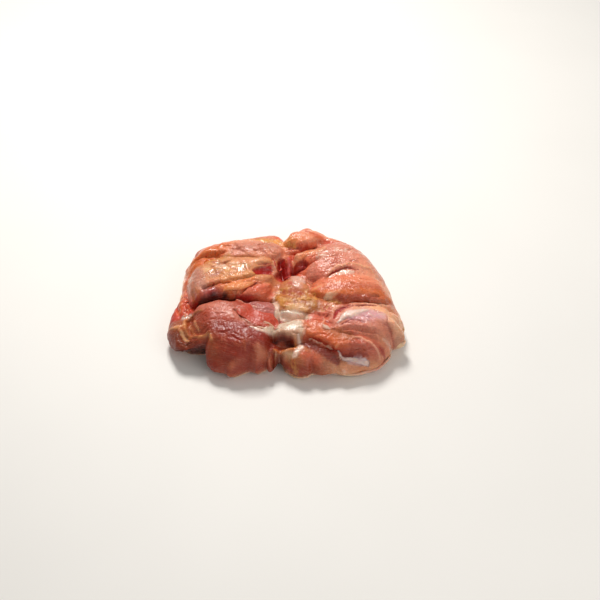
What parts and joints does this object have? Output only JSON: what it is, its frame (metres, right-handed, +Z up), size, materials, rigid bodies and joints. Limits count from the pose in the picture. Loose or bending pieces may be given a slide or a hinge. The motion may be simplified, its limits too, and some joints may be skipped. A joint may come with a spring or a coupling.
{
  "type": "raw chicken thigh",
  "caption": "Raw boneless chicken leg lying on its skin with the cut meat side up, muscles folded round the white knee gristle.",
  "frame": {"origin": "centre of the piece's outline, at its flat underside", "axes": "+X from the thigh to the drumstick meat, +Y away from the knee, +Z up from the skin to the cut meat"},
  "size_m": [0.1426, 0.118, 0.0316],
  "materials": {
    "flesh": "wet, semi-gloss raw meat with fat, film and gristle"
  },
  "bodies": {
    "root": {"thigh": "flesh"}
  },
  "joints": []
}
